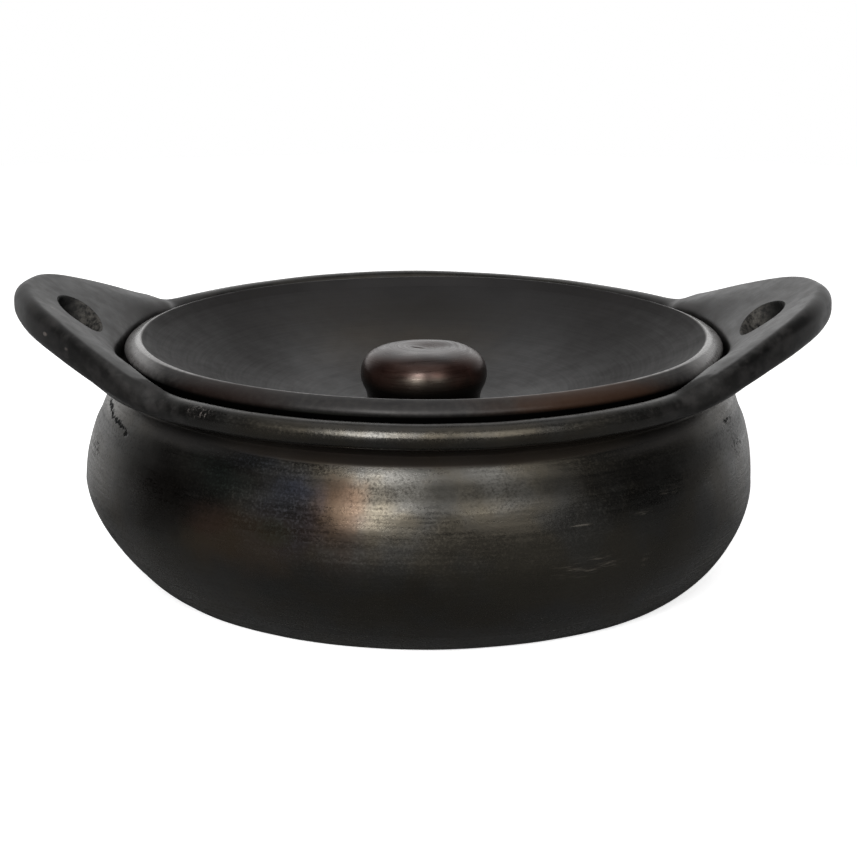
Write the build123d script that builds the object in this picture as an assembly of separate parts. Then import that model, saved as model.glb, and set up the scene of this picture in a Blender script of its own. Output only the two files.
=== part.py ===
from build123d import *
from math import cos, radians, sin, sqrt, tan
import os

# A hand-built black clay casserole: a low bellied pot with two ear handles, and a dished lid with a knob.
#
# Frame: origin at the centre of the flat base, +Z up, +X along the line through the two handles. Millimetres.
# The clay pieces are the ones a potter forms and lutes together: a moulded bowl, a coiled shoulder, a rim
# collar, two ear handles, and for the lid a dished slab, a rolled edge and a knob.

# Pot
BELLY_R = 150.0  # widest radius, outside
BELLY_Z = 47.3  # height of the widest line, where the bowl ends and the shoulder begins
BASE_R = 112.0  # flat resting face
HEEL_REACH = 14.0  # how far the wall runs out level from the base before it climbs
BELLY_DROP = 21.3  # how far below the widest line the wall still climbs upright
WALL = 9.0
FLOOR = 10.0
SHOULDER_OUTSIDE = ((149.2, 59), (146.2, 72), (141.2, 83))  # radius and height, from the belly to the neck
SHOULDER_INSIDE = ((134.2, 78), (139.6, 62))  # the same, from the neck to the belly
NECK_R = 137.2
NECK_Z = 90.0  # joint between shoulder and rim collar
LIP_R = 144.5  # radius of the lip's crest
LIP_Z = 107.6  # height of the lip's crest
LIP_ROLL = 5.8  # radius of the rolled lip
LIP_UNDER = 20.0  # degrees past the bottom of the roll where the neck's curve meets it
SEAT_DROP = 12.0  # how far the 45 degree seat falls, and how far it comes in

# Ear handles: heights are given above the lip's crest, and the slope of the plate follows X
EAR_TOP = (
    (100, -0.6), (119.7, 1.4), (131.7, 5.2), (144, 9.5), (157.5, 19.5), (171, 28.2), (180, 31), (200, 33),
)
EAR_UNDER = ((200, 26), (180, 13.5), (168, 6), (156, 0.5), (143.7, -5), (130, -10.5), (100, -12.6))
EAR_OUTLINE = ((102, 92), (119, 91.5), (134, 84.5), (156, 61.5), (175, 34), (184.3, 0))
EAR_STOCK = 200.0  # more than an ear measures any way
EAR_EDGE = 5.5  # rounding of the ear's edge
EAR_TURN = 3.0  # degrees; both ears stand a little towards the front of the X axis
EAR_INSIDE = 75.0  # degrees; slope of the ear's inner face above the seat
SLOT_X = 154.5  # the finger slot's centre on the upper face
SLOT_RISE = 17.0  # height of that centre above the lip's crest
SLOT_SLOPE = 34.0  # degrees; slope of the plate at the slot
SLOT_SHORT = 24.0
SLOT_LONG = 36.0

# Lid
EDGE_ROLL = 7.0  # radius of the rolled edge
EDGE_R = 128.6  # radius of that roll's centre
SEAT_GAP = 0.3  # clearance between the rolled edge and the 45 degree seat in the pot's mouth
DISH_Z = 77.5  # top of the dish at the middle
DISH_WALL = 9.0
DISH_STEP = 1.2  # how far the dish's curve stays under the top of the rolled edge
DISH_JOINT_R = 123.0  # where the dished slab meets the rolled edge
LID_TILT = 1.05  # degrees; the lid rocks a little on its round seat, front side up

# Knob
KNOB_R = 28.5
KNOB_TOP = 106.0
KNOB_WIDEST = 12.3  # the knob's widest line and its neck are this far below its top
KNOB_NECK = 22.3
KNOB_NECK_R = 25.5
KNOB_CROWN_R = 21.5  # where the flat top turns down into the side
KNOB_CROWN = 2.6
KNOB_FOOT_R = 27.0

roll_z = LIP_Z - LIP_ROLL  # centre of the rolled lip
diagonal = sqrt(0.5)
seat_top = (LIP_R - LIP_ROLL * diagonal, roll_z + LIP_ROLL * diagonal)  # where the seat leaves the lip
seat_bottom = (seat_top[0] - SEAT_DROP, seat_top[1] - SEAT_DROP)
# The rolled edge lies on the seat: its centre is one roll and one gap away from that 45 degree line.
edge_z = EDGE_R - (seat_top[0] - seat_top[1]) + (EDGE_ROLL + SEAT_GAP) * sqrt(2)


def turned(*edges):
    """A solid turned about Z from a closed outline in the XZ plane."""
    return revolve(make_face(Plane.XZ * Wire(list(edges))), Axis.Z)


def bowl():
    """The moulded lower half: flat floor and rounded wall up to the widest line."""
    inner_r = BELLY_R - WALL
    climb_z = BELLY_Z - BELLY_DROP
    floor_r = BASE_R - WALL / 2
    return turned(
        Line((0, 0), (BASE_R, 0)),
        Bezier((BASE_R, 0), (BASE_R + HEEL_REACH, 0), (BELLY_R, climb_z), (BELLY_R, BELLY_Z)),
        Line((BELLY_R, BELLY_Z), (inner_r, BELLY_Z)),
        Bezier(
            (inner_r, BELLY_Z), (inner_r, climb_z + WALL / 2), (BASE_R + HEEL_REACH, FLOOR), (floor_r, FLOOR),
        ),
        Line((floor_r, FLOOR), (0, FLOOR)),
        Line((0, FLOOR), (0, 0)),
    )


def shoulder():
    """The coiled wall from the widest line in to the neck."""
    inner_r = BELLY_R - WALL
    neck_inner_r = NECK_R - WALL
    outside = Spline(
        (BELLY_R, BELLY_Z), *SHOULDER_OUTSIDE, (NECK_R, NECK_Z), tangents=[(0, 1), (-0.45, 1)],
    )
    inside = Spline(
        (neck_inner_r, NECK_Z), *SHOULDER_INSIDE, (inner_r, BELLY_Z), tangents=[(0.3, -1), (0, -1)],
    )
    return turned(
        outside,
        Line((NECK_R, NECK_Z), (neck_inner_r, NECK_Z)),
        inside,
        Line((inner_r, BELLY_Z), (BELLY_R, BELLY_Z)),
    )


def collar_outside():
    """The collar's outline from the neck joint round the rolled lip to the top of the seat."""
    turn = radians(LIP_UNDER)
    under = (LIP_R + LIP_ROLL * sin(turn), roll_z - LIP_ROLL * cos(turn))
    leave = (NECK_R - 1.4, NECK_Z + 3.4)
    arrive = (under[0] - 4.2, under[1] - 1.5)
    return (
        Bezier((NECK_R, NECK_Z), leave, arrive, under),
        ThreePointArc(under, (LIP_R + LIP_ROLL, roll_z), seat_top),
    )


def rim_collar():
    """The flared collar with its rolled lip; its inside slopes at 45 degrees and is the lid's seat."""
    neck_inner = (NECK_R - WALL, NECK_Z)
    return turned(
        *collar_outside(),
        Line(seat_top, seat_bottom),
        Line(seat_bottom, neck_inner),
        Line(neck_inner, (NECK_R, NECK_Z)),
    )


def mouth():
    """Everything inside the collar's outline and above the seat, where an ear has no clay."""
    top_z = LIP_Z + EAR_STOCK
    top_r = seat_top[0] + (top_z - seat_top[1]) / tan(radians(EAR_INSIDE))
    return turned(
        Line((0, NECK_Z), (NECK_R, NECK_Z)),
        *collar_outside(),
        Line(seat_top, (top_r, top_z)),
        Line((top_r, top_z), (0, top_z)),
        Line((0, top_z), (0, NECK_Z)),
    )


def ear_plate():
    """The sloping plate of an ear on the X axis: a band of clay trimmed to its outline, with a rounded edge."""
    top = [(x, LIP_Z + rise) for x, rise in EAR_TOP]
    under = [(x, LIP_Z + rise) for x, rise in EAR_UNDER]
    band = make_face(Plane.XZ * Wire([
        Spline(*top), Line(top[-1], under[0]), Spline(*under), Line(under[-1], top[0]),
    ]))
    near_side = [(x, -y) for x, y in EAR_OUTLINE]
    far_side = list(reversed(EAR_OUTLINE[:-1]))
    outline = make_face(Wire([Spline(*near_side, *far_side), Line(far_side[-1], near_side[0])]))
    plate = extrude(band, amount=EAR_STOCK, both=True) & extrude(outline, amount=EAR_STOCK)
    edge = [e for e in plate.edges() if e.bounding_box().max.X > SLOT_X + SLOT_SHORT / 2]
    return fillet(edge, EAR_EDGE)


def ear():
    """The right-hand ear: its plate grows out of the lip and has a finger slot cut square through it."""
    slope = radians(SLOT_SLOPE)
    slot_plane = Plane(
        origin=(SLOT_X, 0, LIP_Z + SLOT_RISE),
        x_dir=(cos(slope), 0, sin(slope)),
        z_dir=(-sin(slope), 0, cos(slope)),
    )
    slot = extrude(slot_plane * Ellipse(SLOT_SHORT / 2, SLOT_LONG / 2), amount=SLOT_LONG, both=True)
    return Rot(Z=-EAR_TURN) * (ear_plate() - mouth() - slot)


def dish_height(r):
    """Height of the dish's upper face: a shallow sphere, level at the middle."""
    rim_z = edge_z + EDGE_ROLL - DISH_STEP
    sphere = ((rim_z - DISH_Z) ** 2 + EDGE_R**2) / (2 * (rim_z - DISH_Z))
    return DISH_Z + sphere - sqrt(sphere**2 - r**2)


def on_seat(part):
    """The lid's pieces are turned upright, then rocked about the point where the seat's normals meet."""
    pivot_z = edge_z + EDGE_R
    return Pos(0, 0, pivot_z) * Rot(X=-LID_TILT) * Pos(0, 0, -pivot_z) * part


def dish():
    """The lid's dished slab."""
    half = DISH_JOINT_R / 2
    end_z = dish_height(DISH_JOINT_R)
    low_z = DISH_Z - DISH_WALL
    low_half = (half, dish_height(half) - DISH_WALL)
    return turned(
        ThreePointArc((0, DISH_Z), (half, dish_height(half)), (DISH_JOINT_R, end_z)),
        Line((DISH_JOINT_R, end_z), (DISH_JOINT_R, end_z - DISH_WALL)),
        ThreePointArc((DISH_JOINT_R, end_z - DISH_WALL), low_half, (0, low_z)),
        Line((0, low_z), (0, DISH_Z)),
    )


def lid_edge():
    """The rolled edge coiled on round the slab; its outside lies on the pot's seat."""
    end_z = dish_height(DISH_JOINT_R)
    high = (EDGE_R, edge_z + EDGE_ROLL)
    low = (EDGE_R, edge_z - EDGE_ROLL)
    return turned(
        Line((DISH_JOINT_R, end_z), high),
        ThreePointArc(high, (EDGE_R + EDGE_ROLL, edge_z), low),
        Line(low, (DISH_JOINT_R, end_z - DISH_WALL)),
        Line((DISH_JOINT_R, end_z - DISH_WALL), (DISH_JOINT_R, end_z)),
    )


def knob(slab):
    """A fat knob, wider than its neck, luted into the middle of the dish."""
    foot_z = DISH_Z - 1
    side = Spline(
        (KNOB_FOOT_R, foot_z),
        (KNOB_NECK_R, KNOB_TOP - KNOB_NECK),
        (KNOB_R, KNOB_TOP - KNOB_WIDEST),
        (KNOB_CROWN_R, KNOB_TOP - KNOB_CROWN),
        (0, KNOB_TOP),
        tangents=[(-0.4, 1), (-1, 0)],
    )
    return turned(
        Line((0, foot_z), (KNOB_FOOT_R, foot_z)),
        side,
        Line((0, KNOB_TOP), (0, foot_z)),
    ) - slab


right_ear = ear()
slab = dish()
parts = {
    "bowl": bowl(),
    "shoulder": shoulder(),
    "rim_collar": rim_collar(),
    "handle_right": right_ear,
    "handle_left": mirror(right_ear, about=Plane.YZ),
    "lid_dish": on_seat(slab),
    "lid_edge": on_seat(lid_edge()),
    "lid_knob": on_seat(knob(slab)),
}

os.makedirs("parts", exist_ok=True)
for name, shape in parts.items():
    export_step(shape, f"parts/{name}.step")
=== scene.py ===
from math import cos, pi, radians, sin, sqrt

import bpy
import numpy as np
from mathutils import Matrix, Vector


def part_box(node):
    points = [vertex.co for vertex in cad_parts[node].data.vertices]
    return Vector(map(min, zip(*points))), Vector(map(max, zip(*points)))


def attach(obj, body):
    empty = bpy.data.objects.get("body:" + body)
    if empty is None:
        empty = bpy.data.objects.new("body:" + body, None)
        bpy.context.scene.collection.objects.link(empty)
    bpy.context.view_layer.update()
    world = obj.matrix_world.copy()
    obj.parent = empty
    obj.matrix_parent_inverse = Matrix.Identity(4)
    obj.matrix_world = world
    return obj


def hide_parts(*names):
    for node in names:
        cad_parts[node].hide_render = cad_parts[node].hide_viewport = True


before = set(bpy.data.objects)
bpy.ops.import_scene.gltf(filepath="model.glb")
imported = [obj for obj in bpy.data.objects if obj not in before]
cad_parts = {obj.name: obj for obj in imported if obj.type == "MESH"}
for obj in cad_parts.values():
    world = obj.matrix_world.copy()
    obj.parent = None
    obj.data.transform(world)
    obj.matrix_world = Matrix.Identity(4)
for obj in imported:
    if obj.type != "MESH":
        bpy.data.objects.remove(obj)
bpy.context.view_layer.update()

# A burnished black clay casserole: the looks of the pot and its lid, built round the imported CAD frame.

# Sizes are in millimetres, in the frame's own axes; meshes are made in metres.
MM = 0.001
BELLY_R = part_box("bowl")[1][0] / MM
BELLY_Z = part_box("bowl")[1][2] / MM
LIP_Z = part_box("rim_collar")[1][2] / MM

# Pot
BASE_R = 115.0
WALL = 9.0
FLOOR = 10.0
RIDGE_R = 139.9  # a soft ridge at the top of the shoulder, where the neck's hollow begins
RIDGE_Z = 86.3
NECK_R = 136.2
NECK_Z = 91.2
LIP_UNDER = -52  # degrees round the lip's roll where its underside begins
LIP_R = 144.5
LIP_ROLL = 5.8
SEAT_DEPTH = 12.0
AXIS_HOLE = 4.0  # the base and the floor start this far from the axis and close on a point
RING_Z = 77.5  # a shallow ring rubbed into the shoulder
RING_DEPTH = 0.5
RING_SPREAD = 3.4

# Ears, by angle from the ear's own axis: where the crest line runs and how thick the edge under it is
EAR_ANGLES = (0, 9.6, 15, 21, 27, 32.5, 37, 43)
EAR_CREST_R = (177.4, 173.9, 169.2, 163.2, 157.6, 152.8, 148.4, LIP_R)
EAR_RISE = (29.4, 26.9, 23.3, 17.8, 11.6, 5.8, 2.0, 0)
EAR_DEPTH = (16, 16.2, 16.2, 15.6, 14.2, 12.6, 11.8, 11.6)  # from the crest down to the heel
EAR_OVER = (6.5, 5.3, 4.2, 3.4, 3.2, 3.4, 4.4, 5.8)  # from the crest out to the edge's face
EAR_CORNER_RISE = 3.2  # how far an ear's upper face ends above the lip's inner corner
EAR_TURN = 3  # degrees; the ears stand a little forward of the X axis
EAR_SECTOR = 45  # degrees either side of an ear's axis that belong to the handle's piece
RIGHT_EAR_SHARE = 0.955  # the right ear rises a little less than the left
LID_CLEARANCE = 6.8  # from the lid's crest out to the mouth's corner behind an ear's axis
SLOT_U = 153.7  # the slot's middle, out along the ear, on the upper face
SLOT_HALF_U = 9.3
SLOT_HALF_V = 16.2
SLOT_SLOPE = radians(34)
SLOT_EDGE = 0.9  # the radius that wear has put on the slot's edge
SLOT_DEPTH = 17.0
SLOT_HALF_ANGLE = 11  # degrees either side of an ear's axis where the grid opens round the slot
RIGHT_SLOT_DROP = 1.2  # how far in along the ear each slot lies from SLOT_U
LEFT_SLOT_DROP = 0.8

# Lid
EDGE_R = 128.6  # the crest of the rolled edge
EDGE_ROLL = 7.0
DISH_Z = 77.5
DISH_WALL = 9.0
DISH_JOINT_R = 122.0
LID_TILT = radians(1.05)
LID_SHIFT = 1.0  # the lid lies this far towards +X
KNOB_TOP = 105.8
KNOB_FOOT_R = 30.0
KNOB_R = 28.6
KNOB_WAIST_R = 25.7

STEPS = 720  # round the pot and the lid
KNOB_STEPS = 240
RIM_POINTS = 120  # along a section of the rim and the ears, from the neck to the seat's foot
rng = np.random.default_rng(7)

# The seat is a 45 degree cone that starts on the lip's roll, and the lid's edge rests on it.
DIAGONAL = sqrt(0.5)
ROLL_Z = LIP_Z - LIP_ROLL
SEAT_TOP = (LIP_R - LIP_ROLL * DIAGONAL, ROLL_Z + LIP_ROLL * DIAGONAL)
SEAT_BOTTOM = (SEAT_TOP[0] - SEAT_DEPTH, SEAT_TOP[1] - SEAT_DEPTH)
SEAT_PLAY = 0.3
EDGE_Z = EDGE_R - (SEAT_TOP[0] - SEAT_TOP[1]) + (EDGE_ROLL + SEAT_PLAY) * sqrt(2)
EDGE_TOP = EDGE_Z + EDGE_ROLL + 0.5


# ---------------------------------------------------------------- curves

def bezier(a, b, c, d, count=40):
    """Points on a cubic Bezier."""
    t = np.linspace(0, 1, count)[:, None]
    a, b, c, d = (np.array(p, float) for p in (a, b, c, d))
    return a * (1 - t) ** 3 + 3 * b * t * (1 - t) ** 2 + 3 * c * t**2 * (1 - t) + d * t**3


def line(a, b, count=12):
    """Points on a straight line."""
    t = np.linspace(0, 1, count)[:, None]
    return np.array(a, float) * (1 - t) + np.array(b, float) * t


def arc(centre, radius, start, end, count=30):
    """Points on a circle between two angles in degrees."""
    t = np.radians(np.linspace(start, end, count))
    return np.stack([centre[0] + radius * np.cos(t), centre[1] + radius * np.sin(t)], axis=1)


def eased(share):
    """0 to 1 with a gentle start and end."""
    return share**2 * (3 - 2 * share)


def bell(reach, step, sigma):
    """The weights of a smoothing filter that runs reach steps either side."""
    weights = np.exp(-0.5 * (np.arange(-reach, reach + 1) * step / sigma) ** 2)
    return weights / weights.sum()


def resample(points, count, sigma=0.0):
    """The same path with evenly spaced points, its corners softened over sigma millimetres."""
    step = 0.2
    points = points[np.r_[True, np.linalg.norm(np.diff(points, axis=0), axis=1) > 1e-6]]
    length = np.r_[0, np.cumsum(np.linalg.norm(np.diff(points, axis=0), axis=1))]
    if sigma:
        fine = np.linspace(0, length[-1], int(length[-1] / step) + 2)
        dense = np.stack([np.interp(fine, length, points[:, k]) for k in (0, 1)], axis=1)
        reach = int(3 * sigma / step)
        kernel = bell(reach, step, sigma)
        for k in (0, 1):
            ends = 2 * dense[0, k] - dense[reach:0:-1, k], 2 * dense[-1, k] - dense[-2:-reach - 2:-1, k]
            dense[:, k] = np.convolve(np.r_[ends[0], dense[:, k], ends[1]], kernel, "valid")
        points, length = dense, fine
    even = np.linspace(0, length[-1], count)
    return np.stack([np.interp(even, length, points[:, k]) for k in (0, 1)], axis=1)


def ripple(theta, height, waves, round_the_pot, up_the_wall):
    """A smooth random surface, about one unit high, that closes on itself round the pot."""
    total = np.zeros(np.broadcast(theta, height).shape)
    for _ in range(waves):
        turns = rng.integers(round_the_pot[0], round_the_pot[1] + 1)
        climb = rng.uniform(-1, 1) * 2 * pi / up_the_wall
        total += np.sin(turns * theta + climb * height + rng.uniform(0, 2 * pi))
    return total / sqrt(waves)


# ---------------------------------------------------------------- meshes

class Skin:
    """One closed surface made in a grid, kept whole for its normals and then cut into pieces."""

    def __init__(self, points):
        """points[i, j] is the point at step i round the axis and row j; rows start and end on the axis."""
        self.steps, self.rows = points.shape[:2]
        self.grid = points
        poles = points[:, 0].mean(axis=0), points[:, -1].mean(axis=0)
        self.points = [points.reshape(-1, 3), poles[0][None], poles[1][None]]
        self.count = self.steps * self.rows + 2
        self.faces = []
        self.owners = []
        self.slots = []
        self.dropped = np.zeros((self.steps, self.rows - 1), bool)

    def at(self, i, j):
        return (i % self.steps) * self.rows + j

    def add_points(self, points):
        first = self.count
        self.points.append(points)
        self.count += len(points)
        return np.arange(first, self.count)

    def add_face(self, corners, owner, slot=0):
        self.faces.append(tuple(int(c) for c in corners))
        self.owners.append(owner)
        self.slots.append(slot)

    def surface(self, i, j):
        """A point of the grid at fractional steps and rows."""
        i, j = np.asarray(i, float), np.asarray(j, float)
        i0, j0 = np.floor(i).astype(int), np.clip(np.floor(j).astype(int), 0, self.rows - 2)
        a, b = (i - i0)[:, None], (j - j0)[:, None]
        g = self.grid
        n = self.steps
        low = g[i0 % n, j0] * (1 - a) + g[(i0 + 1) % n, j0] * a
        high = g[i0 % n, j0 + 1] * (1 - a) + g[(i0 + 1) % n, j0 + 1] * a
        return low * (1 - b) + high * b

    def close(self, owner_of):
        """All the grid's faces, each owned by the piece that owner_of(step, row) names."""
        first_pole, last_pole = self.steps * self.rows, self.steps * self.rows + 1
        for i in range(self.steps):
            self.add_face((first_pole, self.at(i + 1, 0), self.at(i, 0)), owner_of(i, 0))
            for j in range(self.rows - 1):
                if not self.dropped[i, j]:
                    corners = self.at(i, j), self.at(i + 1, j), self.at(i + 1, j + 1), self.at(i, j + 1)
                    self.add_face(corners, owner_of(i, j))
            last = self.rows - 1
            self.add_face((self.at(i, last), self.at(i + 1, last), last_pole), owner_of(i, last - 1))
        self.points = np.concatenate(self.points)
        self.normals = self.vertex_normals()

    def vertex_normals(self):
        """The mean direction of the faces round each point; points in an opening have no faces."""
        normals = np.zeros_like(self.points)
        for size in (3, 4):
            faces = np.array([f for f in self.faces if len(f) == size])
            if len(faces):
                p = self.points[faces]
                across = np.cross(p[:, 2] - p[:, 0], p[:, size - 1] - p[:, 1])
                for k in range(size):
                    np.add.at(normals, faces[:, k], across)
        length = np.linalg.norm(normals, axis=1)
        length[length == 0] = 1
        return normals / length[:, None]

    def piece(self, name, caps, materials):
        """One closed object: the faces that it owns, and cut faces that close it where a neighbour joins."""
        own = [k for k, owner in enumerate(self.owners) if owner == name]
        faces = [self.faces[k] for k in own] + caps
        used = np.unique(np.concatenate([np.array(f) for f in faces]))
        local = {int(v): k for k, v in enumerate(used)}
        mesh = bpy.data.meshes.new(name)
        mesh.from_pydata((self.points[used] * MM).tolist(), [], [[local[v] for v in f] for f in faces])
        mesh.polygons.foreach_set("use_smooth", [True] * len(faces))
        mesh.polygons.foreach_set("material_index", [self.slots[k] for k in own] + [0] * len(caps))
        loops = [self.normals[v] for k in own for v in self.faces[k]]
        for cap in caps:
            a, b, c = (self.points[cap[k]] for k in (0, 1, 2))
            flat = np.cross(b - a, c - a)
            loops += [flat / max(np.linalg.norm(flat), 1e-9)] * len(cap)
        for material in materials:
            mesh.materials.append(material)
        self.crease(mesh, len(own))
        mesh.normals_split_custom_set([tuple(n) for n in loops])
        obj = bpy.data.objects.new(name, mesh)
        bpy.context.scene.collection.objects.link(obj)
        return obj

    @staticmethod
    def crease(mesh, first_cap):
        """Marks the edges between the skin and the cut faces sharp, so that each keeps its own normals."""
        edge_of = np.zeros(len(mesh.loops), int)
        mesh.loops.foreach_get("edge_index", edge_of)
        start = np.zeros(len(mesh.polygons), int)
        mesh.polygons.foreach_get("loop_start", start)
        if first_cap < len(start):
            split = start[first_cap]
            both = np.intersect1d(edge_of[:split], edge_of[split:])
            sharp = np.zeros(len(mesh.edges), bool)
            sharp[both] = True
            mesh.edges.foreach_set("use_edge_sharp", sharp)

    def ring_cap(self, from_row, to_row, steps=None):
        """Cut faces between two rows, from the edge of one to the edge of the other."""
        steps = range(self.steps) if steps is None else steps
        return [(self.at(i, from_row), self.at(i + 1, from_row), self.at(i + 1, to_row), self.at(i, to_row))
                for i in steps]

    def end_cap(self, step, first, last, flip):
        """Cut faces across the section at one step, between two rows."""
        caps = []
        while last - first > 1:
            corners = [self.at(step, first), self.at(step, first + 1), self.at(step, last - 1),
                       self.at(step, last)]
            if last - first == 2:
                corners.pop(1)
            caps.append(tuple(reversed(corners)) if flip else tuple(corners))
            first, last = first + 1, last - 1
        return caps


# ---------------------------------------------------------------- the pot

def ear_values(theta):
    """At each angle round the pot: the crest's radius, rise, depth and overhang, and the mouth's corner."""
    right = np.cos(theta) > 0
    turned_on = theta + np.where(right, 1, -1) * radians(EAR_TURN)
    off_axis = np.degrees((turned_on + pi / 2) % pi - pi / 2)
    behind = np.where(right, 1, -1) * off_axis
    step, reach, softness = 0.25, 24, 1.7
    fine = np.arange(-240, 241) * step
    kernel = bell(reach, step, softness)
    values = []
    for table in (EAR_CREST_R, EAR_RISE, EAR_DEPTH, EAR_OVER):
        shape = np.interp(np.abs(fine), EAR_ANGLES, table)
        padded = np.r_[[shape[0]] * reach, shape, [shape[-1]] * reach]
        values.append(np.interp(np.abs(off_axis), fine, np.convolve(padded, kernel, "valid")))
    crest_r, rise, depth, over = values
    shorter = np.where(right, 0, 1.0) * rise / EAR_RISE[0]
    # Behind each ear's axis the mouth closes in on the lid, and along the whole ear its corner stands higher.
    closed = np.clip((behind + 8) / 16, 0, 1) * np.clip(rise / 6, 0, 1)
    raised = np.clip(rise / 14, 0, 1)
    corner_r = SEAT_TOP[0] - 1.9 * raised
    corner_r += (EDGE_R + LID_CLEARANCE + LID_SHIFT * np.cos(theta) - corner_r) * eased(closed)
    corner_z = SEAT_TOP[1] + EAR_CORNER_RISE * eased(raised)
    rise = np.where(right, rise * RIGHT_EAR_SHARE, rise)
    return np.stack([crest_r - shorter, rise, depth, over, corner_r, corner_z], axis=1)


def rim_section(crest_r, rise, depth, over, corner_r, corner_z):
    """The collar's and ear's outline in one upright slice, from the neck round the edge to the seat."""
    root = (LIP_R, ROLL_Z)
    under = arc(root, LIP_ROLL, LIP_UNDER, LIP_UNDER, 1)[0]
    neck = bezier((NECK_R, NECK_Z), (NECK_R + 0.5, NECK_Z + 2.2), (NECK_R + 4, NECK_Z + 3.6), under, 24)
    plain = arc(root, LIP_ROLL, LIP_UNDER, 135, 80)
    share = np.clip(rise / EAR_RISE[0], 0, 1)
    blend = eased(np.clip(share / 0.15, 0, 1))
    if blend > 0:
        crest = np.array((crest_r, LIP_Z + rise))
        face = crest_r + over
        heel = LIP_Z + rise - depth
        heel_in = np.array((face - 5 * share - 2, heel - 1.5 * share))
        sag = (under + heel_in) / 2 + np.array((1.5, 1.5)) * share
        underside = bezier(under, under + (sag - under) * 0.7, heel_in + (sag - heel_in) * 0.7, heel_in)
        heel_turn = bezier(heel_in, (face - 1, heel + 1), (face, heel + 3), (face, heel + 6.5))
        top_turn = bezier((face, crest[1] - over * 1.1), (face, crest[1] - over * 0.4),
                          (crest_r + over * 0.5, crest[1]), crest)
        corner = np.array((corner_r, corner_z))
        length = np.linalg.norm(crest - corner)
        leave, arrive = radians(56 - 10 * share), radians(10 + 20 * share)
        upper = bezier(crest, crest - np.array((cos(arrive), sin(arrive))) * length * 0.48,
                       corner + np.array((cos(leave), sin(leave))) * length * 0.30, corner)
        eared = np.concatenate([underside, heel_turn, top_turn, upper])
        plain = resample(plain, 400) * (1 - blend) + resample(eared, 400) * blend
    wall_foot = (corner_r - 0.3, corner_r - 0.3 - SEAT_TOP[0] + SEAT_TOP[1])
    wall = line(plain[-1], wall_foot) if corner_r < SEAT_TOP[0] - 0.4 else plain[-1:]
    return np.concatenate([neck, plain, wall, line(wall[-1], SEAT_BOTTOM)])


def pot_skin():
    """The whole pot in one skin: base, belly, neck, ears and lip, seat, inside wall and floor."""
    theta = np.arange(STEPS) * 2 * pi / STEPS
    inner_r = BELLY_R - WALL
    flat_r = BASE_R - 6
    base = resample(line((AXIS_HOLE, 0), (flat_r, 0)), 16)
    heel = resample(np.concatenate([
        line((flat_r, 0), (BASE_R, 0)),
        bezier((BASE_R, 0), (BASE_R + 10, 0), (BELLY_R, 28), (BELLY_R, BELLY_Z)),
    ]), 42)
    ridge = (RIDGE_R, RIDGE_Z)
    shoulder = resample(np.concatenate([
        bezier((BELLY_R, BELLY_Z), (BELLY_R, 65.5), (RIDGE_R + 5.4, RIDGE_Z - 8.8), ridge),
        bezier(ridge, (RIDGE_R - 0.6, RIDGE_Z + 1.1), (NECK_R + 1.4, NECK_Z - 1.7), (NECK_R, NECK_Z)),
    ]), 60, 0.45)
    inside_top = resample(bezier(SEAT_BOTTOM, (126.5, 88), (inner_r, 72), (inner_r, BELLY_Z)), 20)
    inside_low = resample(np.concatenate([
        bezier((inner_r, BELLY_Z), (inner_r, 30), (BASE_R + 13, FLOOR), (flat_r, FLOOR)),
        line((flat_r, FLOOR), (AXIS_HOLE, FLOOR)),
    ]), 46)
    outside = np.concatenate([base, heel[1:], shoulder[1:]])
    inside = np.concatenate([inside_top[1:], inside_low[1:]])
    rows = {"widest": len(base) + len(heel) - 2, "neck": len(outside) - 1}
    rows["seat"] = rows["neck"] + RIM_POINTS - 1
    rows["inner_widest"] = rows["seat"] + len(inside_top) - 1

    grid = np.zeros((STEPS, len(outside) + RIM_POINTS - 1 + len(inside), 3))
    for i, values in enumerate(ear_values(theta)):
        rim = resample(rim_section(*values), RIM_POINTS, 0.7)
        section = np.concatenate([outside, rim[1:], inside])
        grid[i, :, 0] = section[:, 0]
        grid[i, :, 2] = section[:, 1]
    radius, height = grid[:, :, 0], grid[:, :, 2]
    turn = theta[:, None]
    standing = np.clip(height / 12, 0, 1)
    wide = np.clip(radius / 60, 0, 1)
    outside_rows = np.arange(radius.shape[1]) < rows["neck"]
    radius = radius - RING_DEPTH * outside_rows * np.exp(-(((height - RING_Z) / RING_SPREAD) ** 2))
    radius = radius + wide * (0.45 * ripple(turn, height, 5, (2, 5), 220)
                              + 0.16 * ripple(turn, height, 12, (5, 16), 60)
                              + 0.05 * ripple(turn, height, 24, (10, 40), 16))
    height = height + standing * (0.30 * ripple(turn, 0 * height, 4, (2, 5), 200)
                                  + 0.06 * ripple(turn, radius, 16, (6, 30), 30))
    x_drift = np.interp(height, (0, 12, BELLY_Z, NECK_Z, 200), (2.2, 2.0, -1.2, 0, 0))
    grid[:, :, 0] = radius * np.cos(turn) + x_drift * np.clip(height, 0, 1)
    grid[:, :, 1] = radius * np.sin(turn)
    grid[:, :, 2] = height
    return Skin(grid), rows


def row_at(skin, step, radius, rows):
    """The fractional row in a run of rows where the section at a fractional step has a given radius."""
    result = []
    run = np.arange(*rows)
    for i, r in zip(step, radius):
        low, part = int(np.floor(i)), i - np.floor(i)
        reach = (np.linalg.norm(skin.grid[low % skin.steps, run, :2], axis=1) * (1 - part)
                 + np.linalg.norm(skin.grid[(low + 1) % skin.steps, run, :2], axis=1) * part)
        order = 1 if reach[-1] > reach[0] else -1
        result.append(np.interp(r, reach[::order], run[::order]))
    return np.array(result)


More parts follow.
